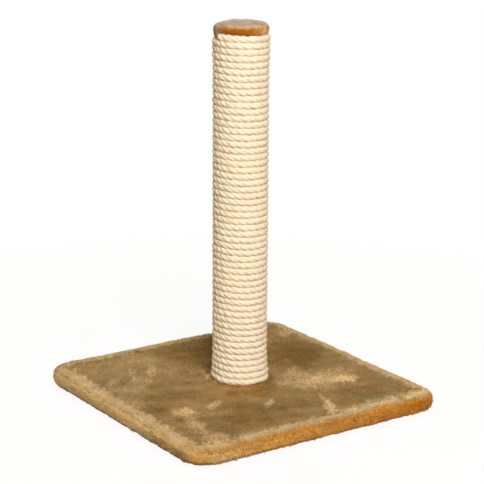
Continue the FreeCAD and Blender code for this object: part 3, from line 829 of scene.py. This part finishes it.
def makeCap(paint):
    # The plush cap is a profile turned round the post: dome, rim, band, lower edge, skirt, and back inside.
    # The band draws in as the square of the way down. One side of the crown is pressed down by a smooth
    # step across it.
    azimuth = np.linspace(0, 360, cap["columns"], endpoint=False)
    edge = bandEdge(azimuth)
    flat = np.ones_like(azimuth)
    rows = []
    for radius in np.linspace(1.2, cap["rimCentre"], 16):
        rows.append((radius, flat * (cap["crown"] - cap["dome"] * (radius / cap["rimCentre"]) ** 2), 1))
    for angle in np.linspace(0, fullTurn / 4, 9)[1:]:
        level = cap["crown"] - cap["dome"] - cap["rimRadius"] * (1 - math.cos(angle))
        rows.append((cap["rimCentre"] + cap["rimRadius"] * math.sin(angle), flat * level, 1))
    bandTop = cap["crown"] - cap["dome"] - cap["rimRadius"]
    bandRadius = cap["rimCentre"] + cap["rimRadius"]
    for share in np.linspace(0, 1, 7)[1:]:
        level = bandTop + share * (edge + cap["edgeRounding"] - bandTop)
        rows.append((bandRadius - cap["bandTuck"] * share ** 2, level, 1 - 0.4 * share))
    for angle in np.linspace(0, fullTurn / 4, 5)[1:]:
        radius = bandRadius - cap["bandTuck"] - cap["edgeRounding"] * (1 - math.cos(angle))
        rows.append((radius, edge + cap["edgeRounding"] * (1 - math.sin(angle)), 0.3))
    rows += [(radius, edge, 0) for radius in (31.4, 30.6, cap["skirtOut"])]
    rows += [(cap["skirtOut"], edge + share * (cap["skirtFoot"] - edge), 0) for share in (0.5, 1)]
    rows += [(cap["skirtIn"], flat * level, 0) for level in (cap["skirtFoot"], 496.0, cap["inside"])]
    rows += [(radius, flat * cap["inside"], 0) for radius in (15.0, 1.2)]
    radius = np.array([row[0] for row in rows])[:, None]
    level = np.stack([row[1] for row in rows])
    pile = np.repeat(np.array([row[2] for row in rows])[:, None], cap["columns"], 1)
    angle = np.radians(azimuth)
    grid = np.stack((radius * np.cos(angle), radius * np.sin(angle), level), axis=-1)
    facing = gridNormals(grid, topRow=6)
    points, normals = grid.reshape(-1, 3), facing.reshape(-1, 3)
    lumps = 0.30 * ripple(points, 14, 311) + 0.18 * ripple(points, 6, 312)
    points = points + normals * (lumps * pile.ravel())[:, None]
    left = points[:, :2] @ lookWay(cap["sagAzimuth"], 0)[:2]
    nearTop = smoothStep((points[:, 2] - bandTop + 6) / 12) * (pile.ravel() > 0)
    points[:, 2] -= cap["sag"] * smoothStep((left - 8) / 26) * nearTop
    everyPoint = np.vstack((points, ((0, 0, cap["crown"]), (0, 0, cap["inside"]))))
    everyNormal = np.vstack((normals, ((0, 0, 1), (0, 0, -1))))
    groups = tubeFaces(*grid.shape[:2])
    looks = plushLooks(everyPoint, everyNormal, capSheenAndShade, capWarm)
    makePiece("capPlush", everyPoint, groups, paint, looks, "cap_cover")
    grid = points.reshape(grid.shape)
    roots, spread = scatter(grid, facing, pile, cap["locks"], 321)
    swirl = 1.2 * ripple(roots, 50, 322)
    lean = np.stack((np.cos(swirl), np.sin(swirl), np.full(len(roots), -0.7)), 1)
    makeLocks("capPile", roots, spread, lean, cap, paint, capSheenAndShade, capWarm, 323)


# The rigid pieces come from the frame as they are, and only their finish is made here
def chipboardPaint():
    paint = Paint("chipboard", {"Roughness": 0.85})
    place = paint.objectPlace()
    cells = {"Vector": paint.stretched(place, (1.0, 1.6, 1.0)), "Scale": 300.0}
    chips = paint.node("ShaderNodeTexVoronoi", {}, cells, "Color")
    chip = paint.noise(chips, 3.0, 0.0)
    grain = paint.noise(place, 900.0, 3.0, 0.6)
    stops = [(0.3, tone(150, 112, 68)), (0.5, tone(190, 152, 100)), (0.72, tone(216, 184, 132))]
    colour = paint.mixColour(grain * 0.3, paint.ramp(chip, stops), tone(132, 98, 60))
    return paint.finish(BaseColor=colour, Normal=paint.bump(grain + chip * 0.5, 0.35, 0.0005))


def cardboardPaint():
    paint = Paint("cardboard", {"Roughness": 0.9})
    place = paint.objectPlace()
    pulp = paint.noise(place, 420.0, 4.0, 0.65)
    streak = paint.noise(paint.stretched(place, (1.0, 1.0, 6.0)), 120.0, 3.0)
    colour = paint.mixColour(pulp * 0.6 + streak * 0.4, tone(150, 120, 86), tone(188, 158, 120))
    return paint.finish(BaseColor=colour, Normal=paint.bump(pulp, 0.25, 0.0003))


def plugPaint():
    paint = Paint("plug_wood", {"Roughness": 0.75})
    place = paint.objectPlace()
    bent = paint.noise(place, 22.0, 2.0)
    rings = paint.noise(paint.stretched(place, (40.0, 700.0, 160.0)), 1.0, 3.0, 0.6)
    colour = paint.mixColour(rings * 0.8 + bent * 0.2, tone(176, 132, 84), tone(226, 192, 142))
    return paint.finish(BaseColor=colour, Normal=paint.bump(rings, 0.25, 0.0004))


def steelPaint(name, shown, rough, scale):
    paint = Paint(name, {"Metallic": 1.0})
    place = paint.objectPlace()
    spangle = paint.noise(place, scale, 3.0, 0.6)
    pale = tuple(min(255, part + 18) for part in shown)
    colour = paint.mixColour(spangle, tone(*shown), tone(*pale))
    dents = paint.bump(spangle, 0.08, 0.0002)
    return paint.finish(BaseColor=colour, Roughness=spangle * 0.2 + rough, Normal=dents)


def finishNodes():
    finishes = [
        (chipboardPaint(), "base_board"),
        (cardboardPaint(), "post_tube"),
        (plugPaint(), "lower_plug", "upper_plug"),
        (steelPaint("zinc_steel", (196, 198, 200), 0.28, 700.0), "pronged_nut", "post_bolt", "bolt_washer"),
        (steelPaint("staple_wire", (186, 186, 184), 0.34, 1500.0),
         "cover_staples", "plug_staples", "rope_staples", "cap_staples"),
    ]
    for paint, *nodes in finishes:
        for piece in [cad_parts[node] for node in nodes]:
            if not piece.material_slots:
                piece.data.materials.append(paint.material)
            for place in piece.material_slots:
                place.material = paint.material
        print(f"{paint.material.name} on {len(nodes)} carried pieces")


studio = {
    "cameraPlace": (-1247.5, -1838.4, 824.6),
    "yaw": -34.2235,
    "pitch": 15.2235,           # downwards
    "roll": 0.2914,
    "focalPixels": 1689.73,
    "imagePixels": 484,
    "sensor": 36.0,
    "skyLevel": 0.40,
    "skyTint": (1.0, 0.91, 0.62),
    "floorGlow": 0.88,
    "floorBounce": (0.33, 0.29, 0.19),      # what the floor throws back on the object
    "floorRadius": 4000.0,
    "floorSides": 96,
    "shadowRadius": 0.35,       # in metres, as shaders measure: how far out the floor takes shadow,
    "shadowFade": 0.6,          # and how much further that fades
    "aimLevel": 200.0,          # how far up the post the lamps point
    # Soft lamps: where they stand as seen from the post, how large, and the level they light to
    "lamps": {
        "keyLamp": {
            "azimuth": 248, "elevation": 31, "away": 2600,
            "size": 1000, "level": 0.84, "tint": (1.0, 0.99, 0.99),
        },
        "leftLamp": {
            "azimuth": 192, "elevation": 24, "away": 2800,
            "size": 1500, "level": 0.02, "tint": (1.0, 0.96, 0.88),
        },
        "backLamp": {
            "azimuth": 60, "elevation": 50, "away": 2800,
            "size": 1600, "level": 0.32, "tint": (0.97, 0.98, 1.0),
        },
    },
}


def lookWay(azimuth, elevation):
    # The direction, of length 1, that has this azimuth and elevation in degrees
    a, e = math.radians(azimuth), math.radians(elevation)
    return np.array((math.cos(e) * math.cos(a), math.cos(e) * math.sin(a), math.sin(e)))


def standAt(made, place, *axes):
    # Puts a new object into the scene, at a place in metres, with its own three axes along these
    turned = np.stack(axes, axis=1)
    made.matrix_world = Matrix([[*turned[row], place[row]] for row in range(3)] + [[0, 0, 0, 1]])
    bpy.context.scene.collection.objects.link(made)


def placeCamera():
    yaw, pitch, roll = (math.radians(studio[key]) for key in ("yaw", "pitch", "roll"))
    forward = np.array((-math.cos(pitch) * math.sin(yaw), math.cos(pitch) * math.cos(yaw), -math.sin(pitch)))
    right = np.array((math.cos(yaw), math.sin(yaw), 0.0))
    above = np.cross(right, forward)
    across = math.cos(roll) * right + math.sin(roll) * above
    upward = math.cos(roll) * above - math.sin(roll) * right
    data = bpy.data.cameras.new("camera")
    data.sensor_width = studio["sensor"]
    data.lens = studio["focalPixels"] / studio["imagePixels"] * studio["sensor"]
    data.clip_end = 50
    made = bpy.data.objects.new("camera", data)
    standAt(made, np.array(studio["cameraPlace"]) * millimetre, across, upward, -forward)
    bpy.context.scene.camera = made


def placeLamps():
    # A lamp of power p at distance d lights a facing surface to p / (pi d)^2 of its own colour
    for name, lamp in studio["lamps"].items():
        data = bpy.data.lights.new(name, "AREA")
        data.shape = "DISK"
        data.size = lamp["size"] * millimetre
        distance = lamp["away"] * millimetre
        data.energy = lamp["level"] * (math.pi * distance) ** 2
        data.color = lamp["tint"]
        way = lookWay(lamp["azimuth"], lamp["elevation"])
        side = unit(np.cross((0, 0, 1), way))
        place = way * distance + (0, 0, studio["aimLevel"] * millimetre)
        standAt(bpy.data.objects.new(name, data), place, side, np.cross(way, side), way)


def seenWhite(paint):
    # 1 for rays from the camera, from gloss and through glass
    rays = ("Is Camera Ray", "Is Glossy Ray", "Is Transmission Ray")
    first, second, third = [paint.node("ShaderNodeLightPath", output=name) for name in rays]
    either = first.maths("MAXIMUM", first, second)
    return either.maths("MAXIMUM", either, third)


def makeSky():
    world = bpy.data.worlds.new("studioSky")
    world.use_nodes = True
    bpy.context.scene.world = world
    world.node_tree.nodes.clear()
    sky = Paint("studioSky", tree=world.node_tree)
    soft = sky.node("ShaderNodeBackground", {}, {"Color": studio["skyTint"], "Strength": studio["skyLevel"]})
    white = sky.node("ShaderNodeBackground", {}, {"Color": (1.0, 1.0, 1.0), "Strength": 1.0})
    mixed = sky.node("ShaderNodeMixShader", {}, {0: seenWhite(sky), 1: soft, 2: white})
    output = sky.tree.nodes.new("ShaderNodeOutputWorld")
    sky.feed(output.inputs["Surface"], mixed)


def makeFloor():
    # A disc, white where the camera sees it, that still takes a soft shadow near the post
    paint = Paint("studioFloor", {"Roughness": 1.0, "Specular IOR Level": 0.0})
    seen = seenWhite(paint)
    paint.finish(BaseColor=paint.mixColour(seen, studio["floorBounce"], (0.9, 0.9, 0.9)))
    place = paint.objectPlace()
    reach = paint.node("ShaderNodeVectorMath", {"operation": "LENGTH"}, {0: place}, "Value")
    outside = (reach - studio["shadowRadius"]) / studio["shadowFade"]
    fade = outside.maths("MINIMUM", outside.maths("MAXIMUM", outside, 0.0), 1.0)
    glow = paint.node("ShaderNodeEmission", {}, {"Color": (1.0, 1.0, 1.0), "Strength": 1.0})
    share = seen * (studio["floorGlow"] + fade * (1 - studio["floorGlow"]))
    output = next(made for made in paint.tree.nodes if made.type == "OUTPUT_MATERIAL")
    body = Wire(paint, paint.shader.outputs[0])
    mixed = paint.node("ShaderNodeMixShader", {}, {0: share, 1: body, 2: glow})
    paint.feed(output.inputs["Surface"], mixed)
    sides = studio["floorSides"]
    angle = np.linspace(0, fullTurn, sides, endpoint=False)
    rim = np.stack((np.cos(angle), np.sin(angle), np.zeros(sides)), 1) * studio["floorRadius"] * millimetre
    justBelow = rim - (0, 0, 0.1 * millimetre)
    mesh = bpy.data.meshes.new("studioFloor")
    mesh.from_pydata(justBelow.tolist(), [], [list(range(sides))])
    mesh.materials.append(paint.material)
    floor = bpy.data.objects.new("studioFloor", mesh)
    bpy.context.scene.collection.objects.link(floor)


placeCamera()
placeLamps()
makeSky()
makeFloor()
print("studio ready")

ropeFinish = sisalPaint()
centreLine = ropeLine()
for strand in range(rope["strands"]):
    makeStrand(strand, centreLine, ropeFinish)
makeFibres(centreLine, ropeFinish)
print(f"rope wound: {centreLine[0][-1]:.0f} mm")

basePaint = plushPaint("base_plush", "dark", "light", "warmDark", "warmLight")
makeBaseLocks(makeBaseCover(basePaint), basePaint)
print("base covered")
makeCap(plushPaint("cap_plush", "crownDark", "crownLight", "crownWarmDark", "crownWarmLight"))
print("cap fitted")
finishNodes()
print("carried pieces finished")

bpy.context.scene.view_settings.view_transform = "Standard"
